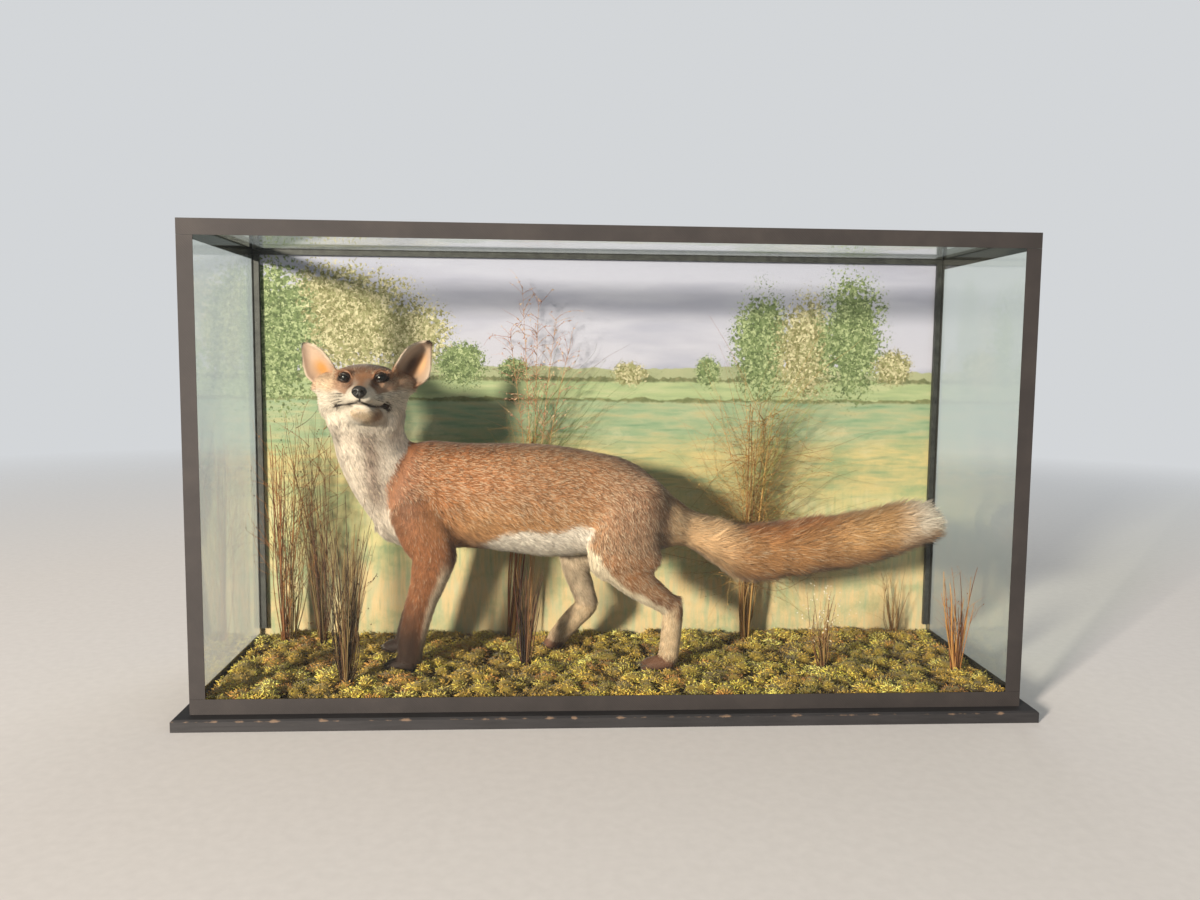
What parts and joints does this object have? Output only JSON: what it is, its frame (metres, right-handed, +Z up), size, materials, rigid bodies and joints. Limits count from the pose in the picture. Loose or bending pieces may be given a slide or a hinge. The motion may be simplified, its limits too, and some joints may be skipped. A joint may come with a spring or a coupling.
{
  "type": "taxidermy fox in a glazed case",
  "caption": "Mounted red fox walking with its head turned to the viewer, on moss with dried grasses, in a taped glass case with a painted back board.",
  "frame": {"origin": "middle of the base board's underside", "axes": "+X to the right of a person facing the case, along its length; -Y towards that person, out of the front pane; +Z up"},
  "size_m": [1.344, 0.433, 0.766],
  "materials": {
    "base_board": "worn black paint",
    "back_board": "hand-painted landscape, matt",
    "batten": "black paint",
    "pane": "clear window glass",
    "binding": "dull dark book-cloth tape",
    "moss": "dried moss",
    "dried_grass": "dry stems and seed heads",
    "coat_red": "fur",
    "coat_pale": "fur",
    "coat_dark": "short fur",
    "nose_leather": "lacquered",
    "eye_glass": "polished"
  },
  "bodies": {
    "root": {"case_base_board": "base_board", "case_back_board": "back_board", "case_batten_left": "batten", "case_batten_right": "batten", "case_batten_top": "batten", "case_glass_front": "pane", "case_glass_left": "pane", "case_glass_right": "pane", "case_glass_top": "pane", "case_binding_top_front": "binding", "case_binding_top_back": "binding", "case_binding_top_left": "binding", "case_binding_top_right": "binding", "case_binding_bottom_front": "binding", "case_binding_bottom_back": "binding", "case_binding_bottom_left": "binding", "case_binding_bottom_right": "binding", "case_binding_front_left": "binding", "case_binding_front_right": "binding", "case_binding_back_left": "binding", "case_binding_back_right": "binding", "moss_floor": "moss", "grass_tuft_1": "dried_grass", "grass_tuft_2": "dried_grass", "grass_tuft_3": "dried_grass", "grass_tuft_4": "dried_grass", "grass_tuft_5": "dried_grass", "grass_tuft_6": "dried_grass", "grass_tuft_7": "dried_grass", "grass_tuft_8": "dried_grass", "fox_trunk": "coat_red", "fox_neck": "coat_pale", "fox_head": "coat_red", "fox_jaw": "coat_pale", "fox_nose": "nose_leather", "fox_eye_left": "eye_glass", "fox_eye_right": "eye_glass", "fox_ear_left": "coat_pale", "fox_ear_right": "coat_pale", "fox_foreleg_left": "coat_red", "fox_foreleg_right": "coat_red", "fox_forepaw_left": "coat_dark", "fox_forepaw_right": "coat_dark", "fox_thigh_left": "coat_red", "fox_thigh_right": "coat_red", "fox_shank_left": "coat_red", "fox_shank_right": "coat_pale", "fox_hindfoot_left": "coat_pale", "fox_hindfoot_right": "coat_pale", "fox_hindpaw_left": "coat_dark", "fox_hindpaw_right": "coat_dark", "fox_tail_root": "coat_red", "fox_tail_brush": "coat_red", "fox_tail_tip": "coat_pale"}
  },
  "joints": []
}
